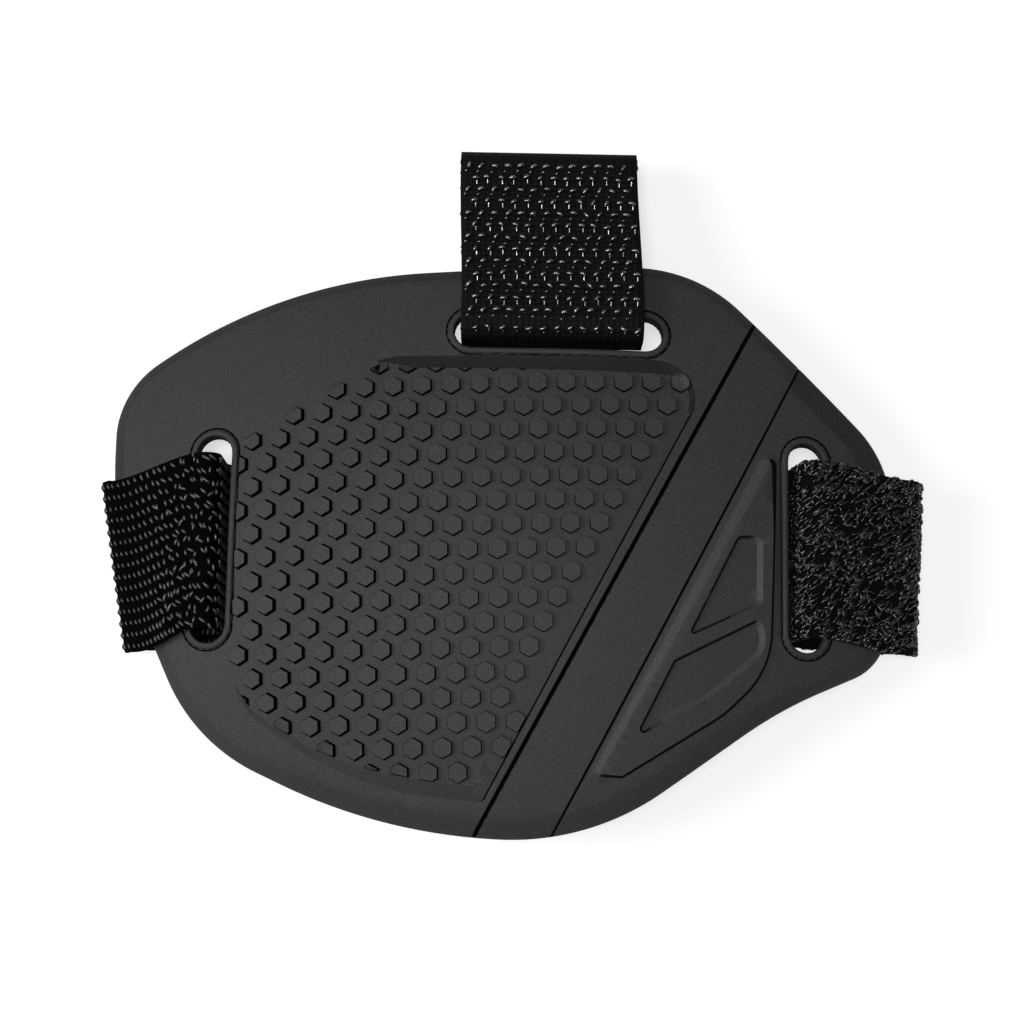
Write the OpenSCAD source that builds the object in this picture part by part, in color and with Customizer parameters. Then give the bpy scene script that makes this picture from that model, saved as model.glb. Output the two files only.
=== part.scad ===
// Boot guard pad: one moulded rubber shield with three strap slots, a wide
// adjustable sole strap and a folded top strap. Millimetres. The pad lies face
// up, X runs along the sole strap, Y towards the top strap, Z up, and the
// origin is the middle of the sole strap's flat underside.

/* [Pad shell] */
// outside radius of the shell's dome
dome_r = 190; // [150:1:260]
// thickness of the moulded wall
wall = 3; // [2:0.1:4.5]
// height of the dome's outside crown above the resting plane
crown_z = 22.8; // [20:0.1:30]
// how far the crown sits right of the origin
crown_x = 4; // [-4:0.5:8]
// thickness left at the bare edge by the rim bevel
edge_t = 1.6; // [1:0.1:2.6]
// width factor of the rim bevel
bevel = 1; // [0.6:0.1:1.3]

/* [Slots] */
// length of each strap slot
slot_l = 38; // [32:0.5:42]
// width of each strap slot
slot_w = 6.6; // [5:0.1:8]
// width of the raised bead round each slot
bead_w = 1.2; // [0.8:0.1:2]
// height of the bead above the dome
bead_h = 0.5; // [0.2:0.1:1]
// distance of the left slot from the origin
left_slot_x = 54.3; // [50:0.1:57]
// distance of the right slot from the origin
right_slot_x = 53.5; // [50:0.1:56]
// distance of the top slot from the origin
top_slot_y = 38.4; // [36.5:0.1:40]
// middle of the top slot across the pad
top_slot_x = 8.2; // [4:0.1:11]

/* [Studded panel] */
// depth of the panel floor along its right side; it fades out to the left
panel_deep = 1.15; // [0.6:0.05:1.5]
// height of a stud above the panel floor
stud_h = 0.8; // [0.4:0.05:0.9]
// pitch of the studs along a row
stud_pitch = 5.19; // [4.6:0.01:7]
// width of a stud across its flats
stud_flats = 3.45; // [2.4:0.05:4.2]
// turn of the stud rows
stud_turn = 2.3; // [0:0.1:5]

/* [Grooves and pockets] */
// depth of the two long grooves
groove_d = 0.55; // [0.3:0.05:1]
// width of the left long groove
groove_w = 0.8; // [0.5:0.1:1.4]
// depth of the three-sided recess
recess_d = 0.6; // [0.3:0.05:1]
// depth of the two pockets in the recess
pocket_d = 1.35; // [0.8:0.05:1.8]

/* [Straps] */
// width of both straps
strap_w = 32; // [26:0.5:34]
// thickness of the ribbed elastic
elastic_t = 1.6; // [1.2:0.1:2]
// thickness of the pile strap
pile_t = 2.2; // [1.6:0.1:2.4]
// thickness of the hook patch on the tab
patch_t = 1.2; // [0.8:0.1:1.4]
// length of the hook patch
patch_l = 40; // [25:1:44]
// thickness of each of the two layers of the top strap
top_t = 1.2; // [0.9:0.05:1.3]
// how far the top strap reaches above the origin
top_reach = 76.3; // [69:0.1:90]
// height of the top strap's outer fold
top_fold = 7.7; // [6:0.1:10]
// how far the pile strap's fold stands off the pad's right edge
fold_slack = 3.05; // [2:0.05:8]
// thickness of the sewing thread
thread = 0.5; // [0.3:0.05:0.8]

/* [Hidden] */
crown_zc = crown_z - dome_r;
inner_r = dome_r - wall;
clear = 0.4;
lap = 0.1;
over_bead = 0.65;
// How far each strap lies towards the pad's middle inside its slot.
lean = 1.1;
over_rim = 0.95;
stud_row = stud_pitch * 0.8345;
stud_origin = [-2.2, -2.05];
slots = [[-left_slot_x, 0, 90], [right_slot_x, 0, 90], [top_slot_x, top_slot_y, 0]];

// Corner points of the pad seen from above: x, y, radius, bevel width.
pad_corners = [[15, -53.4, 47.2, 3.2], [48.9, -29.2, 79.8, 3], [68.9, -20.4, 10.7, 2.2], [70.7, 16.7, 21, 2],
    [33.6, 53, 26.7, 3.6], [-44, 49.3, 102, 2.6], [-75, 29.4, 16, 2], [-74, 0.1, 80, 1.6],
    [-56.6, -36.7, 34.9, 2.4], [-21.6, -52.3, 103, 3.2]];
// The panel's corners carry the width of the slope down to its floor, and the
// floor meets the pad's face again along the fade line.
panel_corners = [[-28, -44.5, 60, 2.6], [-3.9, -46.6, 1.2, 0.5], [37.6, 33.4, 7, 0.7], [-24, 33.4, 24, 2.4],
    [-49.2, 21, 13, 1], [-49.2, -29.6, 12, 1.6]];
fade_line = [[-24, 32], [-48.6, -29.8]];
fade_run = 52;
recess_corners = [[46.9, 17.5, 1.2], [47.1, -21.5, 16], [39.4, -29.5, 20], [20.6, -42.6, 1], [14.8, -43, 1]];
upper_pocket = [[42.9, 2.2, 1.2], [44.7, -0.6, 0.8], [44.9, -10.2, 1], [31.5, -17, 1]];
lower_pocket = [[29.6, -21.2, 1], [43.6, -13.9, 1.2], [45.2, -19.6, 3], [34.9, -28.2, 8], [23, -35.3, 1]];
groove_1 = [[44.4, 41.6], [-5.3, -52.3]];
groove_2 = [[52.3, 32.8], [9.1, -50.7]];

function unit(v) = v / norm(v);
function wrap(a) = a - 360 * round(a / 360);
// Points of the arc that rounds corner b between a and c, moved inwards by d.
function corner(a, b, c, r, d, n) = let (u = unit([a.x - b.x, a.y - b.y]), v = unit([c.x - b.x, c.y - b.y]),
    half = acos(u * v) / 2, m = [b.x, b.y] + unit(u + v) * r / sin(half), s = sign(-(u.x * v.y - u.y * v.x)),
    p = [b.x, b.y] + u * r / tan(half) - m, q = [b.x, b.y] + v * r / tan(half) - m, t0 = atan2(p.y, p.x),
    sweep = wrap(atan2(q.y, q.x) - t0))
    [for (j = [0:n]) m + (r - s * d) * [cos(t0 + sweep * j / n), sin(t0 + sweep * j / n)]];
function outline(c, d, n) = let (k = len(c)) [for (i = [0:k - 1])
    each corner(c[(i + k - 1) % k], c[i], c[(i + 1) % k], c[i][2], d, n)];
// Bevelled outline: like outline(), but each corner is moved by its own width.
function bevelled(c, f, n) = let (k = len(c)) [for (i = [0:k - 1])
    each corner(c[(i + k - 1) % k], c[i], c[(i + 1) % k], c[i][2], f * c[i][3], n)];
function dome_at(p, r) = crown_zc + sqrt(r * r - pow(p.x - crown_x, 2) - p.y * p.y);
function lift(pts, r) = [for (p = pts) [p.x, p.y, dome_at(p, r)]];
function level(pts, z) = [for (p = pts) [p.x, p.y, z]];

// Closed solid through rings of equal count, lowest first.
module stack(rings) {
    n = len(rings[0]);
    k = len(rings);
    polyhedron([for (r = rings) each r], concat([[for (i = [0:n - 1]) i]],
        [for (j = [0:k - 2]) each [for (i = [0:n - 1]) let (a = j * n + i, b = j * n + (i + 1) % n)
            each [[a, a + n, b + n], [a, b + n, b]]]], [[for (i = [n - 1:-1:0]) (k - 1) * n + i]]));
}

module dome(r) translate([crown_x, 0, crown_zc]) sphere(r, $fn = 180);

// Whatever a plan shape covers above the dome of the given radius.
module above(r) difference() {
    linear_extrude(crown_z + 4) children();
    dome(r);
}

module obround(l, w) {
    square([l - w, w], center = true);
    for (s = [-1, 1]) translate([s * (l - w) / 2, 0]) circle(d = w, $fn = 48);
}

module at_slots() for (s = slots) translate([s.x, s.y]) rotate(s.z) children();

module line_2d(a, b, w) {
    d = unit(b - a);
    s = [-d.y, d.x] * w / 2;
    polygon([a + s, b + s, b - s, a - s]);
}

module studs_2d() rotate(stud_turn) translate(stud_origin)
    for (j = [-12:9], i = [-11:9])
        translate([(i + (abs(j) % 2) / 2) * stud_pitch, j * stud_row]) rotate(30)
            circle(r = stud_flats / sqrt(3), $fn = 6);

// The panel's floor is the dome itself, slid away from the fade line.
module floor_dome(up) {
    d = unit(fade_line[0] - fade_line[1]);
    away = [d.y, -d.x];
    fall = panel_deep / fade_run;
    translate([-dome_r * fall * away.x, -dome_r * fall * away.y,
        up - fall * (([crown_x, 0] - fade_line[0]) * away)]) dome(dome_r);
}

module panel_void() {
    foot = lift(bevelled(panel_corners, 1, 8), dome_r - panel_deep);
    face = lift(outline(panel_corners, 0, 8), dome_r);
    over = [for (i = [0:len(foot) - 1]) 2 * face[i] - foot[i]];
    difference() {
        stack([level(foot, 0), foot, over, level(over, crown_z + 6)]);
        floor_dome(0);
    }
}

module studs() intersection() {
    linear_extrude(crown_z + 4) intersection() {
        studs_2d();
        polygon(outline(panel_corners, 0.6, 8));
    }
    dome(dome_r + stud_h);
    floor_dome(stud_h);
}

module pad() color([0.09, 0.09, 0.095]) difference() {
    union() {
        difference() {
            intersection() {
                bevelled_blank();
                dome(dome_r);
            }
            panel_void();
        }
        studs();
        intersection() {
            linear_extrude(crown_z + 4) at_slots() obround(slot_l + 2 * bead_w, slot_w + 2 * bead_w);
            dome(dome_r + bead_h);
        }
    }
    dome(inner_r);
    translate([0, 0, -1]) linear_extrude(crown_z + 8) at_slots() obround(slot_l, slot_w);
    above(dome_r - groove_d) {
        intersection() {
            union() {
                line_2d(groove_1[0], groove_1[1], groove_w);
                line_2d(groove_2[0], groove_2[1], groove_w * 0.6);
            }
            polygon(outline(pad_corners, 0.8, 8));
        }
    }
    above(dome_r - recess_d) polygon(outline(recess_corners, 0, 6));
    above(dome_r - pocket_d) {
        polygon(outline(upper_pocket, 0, 4));
        polygon(outline(lower_pocket, 0, 4));
    }
}

module bevelled_blank() {
    rim = lift(outline(pad_corners, 0, 8), inner_r + edge_t);
    face = lift(bevelled(pad_corners, bevel, 8), dome_r);
    over = [for (i = [0:len(rim) - 1]) 2 * face[i] - rim[i]];
    stack([level(rim, -3), rim, over, level(over, crown_z + 6)]);
}

// Rounded centre line in the strap's own plane. Corners are [along, up, radius,
// sideways shift, turn of the fold]; the shift and turn are carried along.
function strap_line(c, n) = let (k = len(c)) concat([[c[0].x, c[0].y, c[0][3], c[0][4]]],
    [for (i = [1:k - 2]) each concat(
        [for (f = [0.25, 0.5, 0.75]) mid_point(c, i, f)],
        [for (p = reach(c, i) < 0.01 ? [[c[i].x, c[i].y]] : corner(c[i - 1], c[i], c[i + 1], c[i][2], 0, n))
            [p.x, p.y, c[i][3], c[i][4]]])],
    [[c[k - 1].x, c[k - 1].y, c[k - 1][3], c[k - 1][4]]]);
function reach(c, i) = let (k = len(c)) (i == 0 || i == k - 1) ? 0 :
    let (u = unit([c[i - 1].x - c[i].x, c[i - 1].y - c[i].y]), v = unit([c[i + 1].x - c[i].x, c[i + 1].y - c[i].y]))
    norm(u + v) < 0.001 ? 0 : c[i][2] / tan(acos(u * v) / 2);
function mid_point(c, i, f) = let (a = c[i - 1], b = c[i], d = [b.x - a.x, b.y - a.y], l = norm(d),
    s0 = reach(c, i - 1), s1 = l - reach(c, i), s = s0 + (s1 - s0) * f, q = [a.x, a.y] + d * s / l,
    g = f * f * (3 - 2 * f)) [q.x, q.y, a[3] + (b[3] - a[3]) * g, a[4] + (b[4] - a[4]) * g];

// A flat strap that follows such a line, between two heights off its middle.
module strap(line, width, low, high) {
    n = len(line);
    pts = [for (i = [0:n - 1]) let (p = line[i], a = line[max(i - 1, 0)], b = line[min(i + 1, n - 1)],
        t0 = i == 0 ? unit([b.x - p.x, b.y - p.y]) : unit([p.x - a.x, p.y - a.y]),
        t1 = i == n - 1 ? t0 : unit([b.x - p.x, b.y - p.y]), t = unit(t0 + t1), m = 1 / (t * t1),
        side = width / 2 * [-sin(p[3]), cos(p[3]), 0], mid = [p.x, p[2], p.y], up = [-t.y, 0, t.x] * m)
        each [mid + side + up * low, mid - side + up * low, mid - side + up * high, mid + side + up * high]];
    polyhedron(pts, concat([[0, 3, 2], [0, 2, 1]], [for (i = [0:n - 2], j = [0:3])
        let (a = 4 * i + j, b = 4 * i + (j + 1) % 4) each [[a, b, b + 4], [a, b + 4, a + 4]]],
        [[4 * n - 4, 4 * n - 3, 4 * n - 2], [4 * n - 4, 4 * n - 2, 4 * n - 1]]));
}

// Heights of the sole strap's layers above the resting plane, and its bends.
tab_z = pile_t / 2;
band_z = pile_t + patch_t + clear + pile_t / 2;
join_z = elastic_t + lap + pile_t / 2;
join_x = 6;
sewn_x = -23;
tab_end = 14;
pad_left = min([for (p = outline(pad_corners, 0, 8)) p.x]);
pad_right = max([for (p = outline(pad_corners, 0, 8)) p.x]);
fold_in = pad_left + elastic_t / 2 + 1.2;
fold_out = pad_right + fold_slack + pile_t / 2;
fold_r = 3;
hinge_x = fold_out - 2 * fold_r - 0.6;
left_x = left_slot_x - lean;
right_x = right_slot_x - lean;
elastic_top = dome_at([-left_slot_x, 0], dome_r) + bead_h + over_bead + elastic_t / 2;
pile_top = dome_at([right_slot_x, 0], dome_r) + bead_h + over_bead + pile_t / 2;
elastic_line = strap_line([[sewn_x, elastic_t * 1.5 + lap, 1, -0.6, 1],
    [-left_x, elastic_t * 1.5 + lap, 2.4, -0.6, 1], [-left_x, elastic_top, 2, -0.4, 1],
    [fold_in, dome_at([fold_in, 0], dome_r) + over_rim + elastic_t / 2, 2.6, -4.9, 10.5],
    [fold_in, elastic_t / 2, 2.6, -3.8, 9.5], [sewn_x - 7, elastic_t / 2, 1, -0.9, 1.5],
    [join_x, elastic_t / 2, 1, 0, 0]], 8);
pile_line = strap_line([[join_x - 14, join_z, 1, 0, 0], [join_x + 1, join_z, 6, 0, 0], [join_x + 7, band_z, 6, 0, 0],
    [right_x, band_z, 3.2, -0.3, 0], [right_x, pile_top, 2.4, -0.4, -1],
    [fold_out, dome_at([fold_out, 0], dome_r) + over_rim + pile_t / 2, fold_r, -2.7, -3],
    [fold_out, tab_z, fold_r, -1.7, -2.6], [hinge_x + 0.3, tab_z, 1, -1.5, -2.4]], 8);
// The tab's own line, from the hinge under the right edge to its free end.
tab_line = strap_line([[hinge_x - 0.3, tab_z, 1, -1.5, -2.4], [45, tab_z, 1, -0.4, -0.5], [tab_end, tab_z, 1, 0, 0]], 2);

module sole_elastic() color([0.05, 0.05, 0.055]) strap(elastic_line, strap_w, -elastic_t / 2, elastic_t / 2);
module sole_pile_strap() color([0.04, 0.04, 0.045]) strap(pile_line, strap_w, -pile_t / 2, pile_t / 2);
module sole_tab() color([0.04, 0.04, 0.045]) strap(tab_line, strap_w, -pile_t / 2, pile_t / 2);

patch_x = tab_end + 1.5;
patch_w = strap_w - 2.4;
module tab_hook_patch() color([0.03, 0.03, 0.03]) translate([patch_x, -patch_w / 2, pile_t])
    cube([patch_l, patch_w, patch_t]);

// The thread runs round the patch, a hair outside its edge.
module patch_stitches() color([0.07, 0.07, 0.075]) translate([patch_x, -patch_w / 2, pile_t]) difference() {
    translate([-1.5 * thread, -1.5 * thread, 0]) cube([patch_l + 3 * thread, patch_w + 3 * thread, thread]);
    translate([-0.3 * thread, -0.3 * thread, -1]) cube([patch_l + 0.6 * thread, patch_w + 0.6 * thread, 4]);
}

// A row of slanted stitches as one zigzag thread lying on the cloth.
stitch = 0.9;
module zigzag(width) {
    n = floor((strap_w - 3) / stitch);
    up = [for (i = [0:n]) [(i % 2 == 0 ? 0 : width), (i - n / 2) * stitch]];
    linear_extrude(thread) polygon(concat(up, [for (i = [n:-1:0]) up[i] + [thread * 1.6, 0]]));
}

module elastic_bartack() color([0.07, 0.07, 0.075])
    translate([sewn_x - 3.5, -0.6, elastic_t * 2 + lap]) rotate(1) zigzag(1.6);

module strap_join_stitches() color([0.07, 0.07, 0.075]) translate([join_x, 0, elastic_t + lap + pile_t]) {
    translate([-11.5, 0, 0]) zigzag(1.4);
    translate([-3, 0, 0]) zigzag(1.4);
    for (s = [-1, 1]) translate([-10.6, s * (strap_w / 2 - 2) - 0.3, 0]) cube([8.5, 0.6, thread]);
}

// Top strap: two layers back to back. The line runs along Y and is turned from
// X at the end; the tab rises evenly from the outer fold to the inner end.
top_w = strap_w + 1.2;
top_y = top_slot_y - lean;
top_low = 3.4;
fold_at = top_reach - top_t;
hinge_y = fold_at - 3.3;
tab_rise = 0.098;
function tab_at(y) = top_low + 0.35 + (hinge_y - y) * tab_rise;
function inner_at(y) = tab_at(y) + 2 * top_t + 1.5 * clear;
top_bend = dome_at([top_slot_x, top_y], dome_r) + bead_h + over_bead + top_t;
inner_end = top_y + 11.7;
top_line = strap_line([[inner_end, inner_at(inner_end), 1, -7, 0], [top_y, inner_at(top_y), 2.6, -7, 0],
    [top_y, top_bend, 2.6, -7, 0], [fold_at, top_low + top_fold, 2.5, -6, 0], [fold_at, top_low, 2.5, -6.5, 0],
    [hinge_y + 0.3, tab_at(hinge_y + 0.3), 1, -6.5, 0]], 8);
tab_stop = top_y + 2.7;
tab_mid = (hinge_y + tab_stop) / 2;
top_tab_line = strap_line([[hinge_y - 0.3, tab_at(hinge_y - 0.3), 1, -6.5, 0], [tab_mid, tab_at(tab_mid), 1, -7.3, 0],
    [tab_stop, tab_at(tab_stop), 1, -7.8, 0]], 2);

module top_hook_tape() color([0.03, 0.03, 0.03]) rotate(90) strap(top_line, top_w, lap / 2, top_t);
module top_inner_tape() color([0.05, 0.05, 0.055]) rotate(90) strap(top_line, top_w, -top_t, -lap / 2);
module top_tab_hook() color([0.03, 0.03, 0.03]) rotate(90) strap(top_tab_line, top_w, lap / 2, top_t);
module top_tab_inner() color([0.05, 0.05, 0.055]) rotate(90) strap(top_tab_line, top_w, -top_t, -lap / 2);
module top_tab_stitches() color([0.07, 0.07, 0.075]) {
    tilt = atan(tab_rise);
    y = tab_stop + 1.2;
    translate([7.8, y, tab_at(y) - top_t / cos(tilt)]) rotate([0, tilt, 90]) mirror([0, 0, 1]) zigzag(1.4);
}

pad();
sole_elastic();
elastic_bartack();
sole_pile_strap();
strap_join_stitches();
sole_tab();
tab_hook_patch();
patch_stitches();
top_hook_tape();
top_inner_tape();
top_tab_hook();
top_tab_inner();
top_tab_stitches();
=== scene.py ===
import math

import bpy
import numpy as np
from mathutils import Matrix, Vector
from mathutils.geometry import delaunay_2d_cdt


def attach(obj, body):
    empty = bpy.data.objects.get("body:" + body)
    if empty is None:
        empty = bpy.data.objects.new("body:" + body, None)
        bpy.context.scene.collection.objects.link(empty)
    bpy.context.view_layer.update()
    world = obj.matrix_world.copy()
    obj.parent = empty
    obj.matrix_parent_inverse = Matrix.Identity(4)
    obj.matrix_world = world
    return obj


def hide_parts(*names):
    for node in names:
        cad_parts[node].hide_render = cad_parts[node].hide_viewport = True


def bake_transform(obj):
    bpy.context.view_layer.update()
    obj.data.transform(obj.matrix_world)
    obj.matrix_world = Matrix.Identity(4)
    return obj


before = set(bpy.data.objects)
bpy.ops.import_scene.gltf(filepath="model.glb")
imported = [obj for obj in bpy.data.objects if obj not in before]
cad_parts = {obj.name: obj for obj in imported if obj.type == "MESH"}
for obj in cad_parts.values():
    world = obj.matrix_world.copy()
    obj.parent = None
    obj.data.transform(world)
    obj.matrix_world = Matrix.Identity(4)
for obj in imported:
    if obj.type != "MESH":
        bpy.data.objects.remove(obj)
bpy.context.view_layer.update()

# ---------------------------------------------------------------- sizes, mm
MM = 0.001
DOME_R, WALL, CROWN_Z, CROWN_X = 190.0, 3.0, 22.8, 4.0
EDGE_T, RIM_ROUND = 1.6, 0.5
SLOT_L, SLOT_W, BEAD_W, BEAD_H = 38.0, 6.6, 1.2, 0.5
SLOTS = [(-54.3, 0.0, 90.0), (53.5, 0.0, 90.0), (8.2, 38.4, 0.0)]  # x, y, turn
# A fine line is sunk round each slot's bead: how far outside it, half its width, its depth.
BEAD_LINE, BEAD_LINE_HALF, BEAD_LINE_D = 0.2, 0.22, 0.18
STUD_PITCH, STUD_FLATS, STUD_TURN, STUD_H = 5.19, 3.45, 2.3, 0.8
STUD_ROW = STUD_PITCH * 0.8345
STUD_ORIGIN = (-2.2, -2.05)
STUD_ROWS, STUD_COLS = np.arange(-12, 10), np.arange(-12, 11)
# Above this line the wedge of the panel's wall leaves no room for studs.
STUD_TOP_Y = 31.1
PANEL_DEEP, FADE_RUN = 1.15, 52.0
FADE_LINE = ((-24.0, 32.0), (-48.6, -29.8))
# The panel's wall is wide only further than this from the middle, as a wedge above and a crescent below.
WIDE_WALL_Y = 24.0
PLATEAU_H, POCKET_D = 0.6, 0.8
STRAP_W, ELASTIC_T, PILE_T, PATCH_T, TOP_T = 32.0, 1.6, 2.2, 1.2, 1.2
PATCH_L, TOP_REACH, LAP, CLEAR = 40.0, 76.3, 0.1, 0.4
# Where the straps turn: the peel hinge, the free end, the outer folds, and the slots' inner edges.
HINGE_X, TAB_END, FOLD_OUT, FOLD_IN = 67.793, 14.0, 74.393, -72.69
LEFT, RIGHT, TOP_Y = -53.2, 52.4, 37.3
STITCH, THREAD_R = 0.9, 0.22

# Outlines, counter-clockwise: each corner is x, y and the radius that rounds it.
PAD = [(15, -53.4, 47.2), (48.9, -29.2, 79.8), (68.9, -20.4, 10.7), (70.7, 16.7, 21), (33.6, 53, 26.7),
       (-44, 49.3, 102), (-75, 29.4, 16), (-74, 0.1, 80), (-56.6, -36.7, 34.9), (-21.6, -52.3, 103)]
PANEL = [(-28, -44.5, 60), (-3.9, -46.6, 1.2), (37.6, 33.4, 7),
         (-24, 33.4, 24), (-49.2, 21, 13), (-49.2, -29.6, 12)]
# The studs are trimmed by this line of corners, a little inside the panel at the left.
FIELD = [(-28, -44.5, 60), (-3.9, -46.6, 1.2), (37.6, 33.4, 7),
         (-22.3, 33.4, 3), (-49.6, 17.6, 2), (-50.4, -30.6, 8)]
PLATEAU_LOW = [(20.6, -41.9, 1), (38.6, -30.6, 20), (47, -22.4, 16)]
PLATEAU = [(48, 15.9, 1.3), (45.2, 15.9, 1.2), (15, -41.6, 1.5)] + PLATEAU_LOW
# The same outline with its left side moved out, so that distances to it count the other sides only.
PLATEAU_RIGHT = [(48, 15.9, 1.3), (40, 15.9, 1), (10, -41.6, 1)] + PLATEAU_LOW
PLATEAU_LEFT = ((45.2, 15.9), (15.0, -41.6))
UPPER_POCKET = [(45.3, 1.4, 1.5), (40.7, 1.4, 1.6), (31.5, -17.2, 0.6), (45.2, -10.6, 0.8)]
LOWER_POCKET = [(29.3, -21.1, 0.6), (22.3, -35.2, 0.8), (37.2, -26.6, 10), (46.2, -19, 5), (45.1, -13, 1.2)]
GROOVE_1 = ((44.4, 41.6), (-5.3, -52.3))
GROOVE_2 = ((52.3, 32.8), (9.1, -50.7))
GROOVES = ((GROOVE_1, 0.42, 0.6), (GROOVE_2, 0.26, 0.35))  # line, half width, depth

# Painted light and shade on the rubber, as factors on its plain colour and gloss: painted shade on the rim
# bevels, the panel's wedge and crescent and the walls of the plateau and pockets; painted highlight on the
# stud tops and the lit slopes.
RIM_SHADE_TOP, RIM_SHADE_LOW, WEDGE_SHADE, CRESCENT_SHADE, STUD_TOP_HIGHLIGHT = 0.72, 0.95, 0.42, 0.78, 1.08
LIT_SLOPE_HIGHLIGHT, PLATEAU_WALL_SHADE, POCKET_WALL_SHADE = 1.3, 0.12, 0.3


# ---------------------------------------------------------------- plane geometry
def unit(v):
    return np.asarray(v, float) / np.linalg.norm(v)


def corner(a, b, c, r, d, n):
    """Points of the arc that rounds corner b, moved inwards by d."""
    a, b, c = (np.array(p[:2], float) for p in (a, b, c))
    u, v = unit(a - b), unit(c - b)
    if np.linalg.norm(u + v) < 0.001:
        return [b]
    half = math.acos(max(-1, min(1, u @ v))) / 2
    m = b + unit(u + v) * r / math.sin(half)
    s = 1 if u[0] * v[1] - u[1] * v[0] < 0 else -1
    p, q = b + u * r / math.tan(half) - m, b + v * r / math.tan(half) - m
    t0 = math.atan2(p[1], p[0])
    sweep = (math.atan2(q[1], q[0]) - t0 + math.pi) % (2 * math.pi) - math.pi
    return [m + (r - s * d) * np.array([math.cos(t0 + sweep * j / n), math.sin(t0 + sweep * j / n)])
            for j in range(n + 1)]


def outline(corners, d=0.0, n=8):
    """The closed ring of an outline with rounded corners; d moves it inwards."""
    k = len(corners)
    return np.array([p for i in range(k)
                     for p in corner(corners[i - 1], corners[i], corners[(i + 1) % k], corners[i][2], d, n)])


def even(ring, step):
    """The same closed ring with points no further apart than step."""
    out = []
    for a, b in zip(ring, np.roll(ring, -1, 0)):
        k = max(1, int(math.ceil(np.linalg.norm(b - a) / step)))
        out += [a + (b - a) * j / k for j in range(k)]
    return np.array(out)


def signed(points, ring):
    """Distance to a closed ring, positive inside."""
    best = np.full(len(points), 1e9)
    inside = np.zeros(len(points), bool)
    x, y = points.T
    for a, b in zip(ring, np.roll(ring, -1, 0)):
        ab = b - a
        t = np.clip(((points - a) @ ab) / max(ab @ ab, 1e-12), 0, 1)
        gap = points - a - t[:, None] * ab
        best = np.minimum(best, np.hypot(*gap.T))
        cross = (a[1] > y) != (b[1] > y)
        if cross.any() and abs(b[1] - a[1]) > 1e-12:
            inside ^= cross & (x < (b[0] - a[0]) * (y - a[1]) / (b[1] - a[1]) + a[0])
    return np.where(inside, best, -best)


def off_line(points, line):
    """Distance from a line, positive to its left on the way from its first to its second point."""
    a, b = np.array(line[0]), np.array(line[1])
    d = unit(b - a)
    rel = points - a
    return rel[:, 0] * -d[1] + rel[:, 1] * d[0]


def off_slot(points, k):
    """Distance to the edge of slot k, negative inside it."""
    x, y, turn = SLOTS[k]
    p = points - (x, y)
    if turn:
        p = np.c_[p[:, 1], -p[:, 0]]
    return np.hypot(np.maximum(abs(p[:, 0]) - (SLOT_L - SLOT_W) / 2, 0), p[:, 1]) - SLOT_W / 2


def slot_ring(k, grow, n=12):
    """The outline of slot k, grown outwards."""
    x, y, turn = SLOTS[k]
    r = SLOT_W / 2 + grow
    half = (SLOT_L - SLOT_W) / 2
    t = np.radians(np.linspace(-90, 90, n + 1))
    right = np.c_[half + r * np.cos(t), r * np.sin(t)]
    ring = np.vstack([right, -right])
    if turn:
        ring = np.c_[-ring[:, 1], ring[:, 0]]
    return ring + (x, y)


def ramp(t):
    return np.clip(t, 0, 1)


def smooth(t):
    t = np.clip(t, 0, 1)
    return t * t * (3 - 2 * t)


# ---------------------------------------------------------------- pad relief
RING = outline(PAD, 0, 24)
PANEL_RING = outline(PANEL, 0, 12)
FIELD_RING = outline(FIELD, 0, 12)
PLATEAU_RING, PLATEAU_RIGHT_RING = outline(PLATEAU, 0, 8), outline(PLATEAU_RIGHT, 0, 8)
POCKET_RINGS = [outline(UPPER_POCKET, 0, 6), outline(LOWER_POCKET, 0, 8)]


def bevel_width(p):
    """Width of the rim bevel, which changes round the pad."""
    x, y = p.T
    below = np.where(x > 40, 3.0 - smooth((x - 46) / 12), 2.0 + 1.4 * smooth((x + 60) / 40))
    above = np.where(off_line(p, GROOVE_2) < 0, 2.1, 2.2 + 2.4 * smooth((x - 14) / 14))
    return np.where(y > 0, above, below)


def wall_width(p):
    """Width of the slope down to the panel's floor."""
    x, y = p.T
    wedge = 0.3 + 2.0 * smooth((x + 26) / 9) * ramp((34.6 - x) / 7)
    crescent = 2.4 * ramp((x + 49) / 30) ** 0.8 * smooth((-1.2 - x) / 2.4) + 0.3
    w = np.where(y > WIDE_WALL_Y, wedge, 0.35)
    w = np.where(y < -WIDE_WALL_Y, crescent, w)
    return w + 0.02


def floor_depth(p):
    """The floor leaves the dome at the fade line and falls evenly to the right."""
    d = unit(np.array(FADE_LINE[0]) - np.array(FADE_LINE[1]))
    return PANEL_DEEP * np.maximum((p - np.array(FADE_LINE[0])) @ np.array([d[1], -d[0]]) / FADE_RUN, 0)


def stud_turn():
    t = math.radians(STUD_TURN)
    return np.array([[math.cos(t), -math.sin(t)], [math.sin(t), math.cos(t)]])


def stud_centres():
    j, i = np.meshgrid(STUD_ROWS, STUD_COLS, indexing="ij")
    local = np.stack([(i + (np.abs(j) % 2) / 2) * STUD_PITCH, j * STUD_ROW], -1) + STUD_ORIGIN
    return local @ stud_turn().T


CENTRES = stud_centres()
# The panel's straight right side, as a point and the direction into the panel.
RIGHT_EDGE = (np.array([-3.9, -46.6]), np.array([-0.8877, 0.4605]))


def kept_studs():
    """True for each place of the lattice that carries a stud."""
    flat = CENTRES.reshape(-1, 2)
    keep = (signed(flat, FIELD_RING) > -0.9) & ((flat - RIGHT_EDGE[0]) @ RIGHT_EDGE[1] > 1.55)
    for k in range(len(SLOTS)):
        keep &= off_slot(flat, k) > 1.0
    keep &= ~((flat[:, 1] < -38) & (flat[:, 0] > -9) & (signed(flat, PANEL_RING) < 3.6))
    return keep.reshape(CENTRES.shape[:2])


KEEP = kept_studs()
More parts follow.
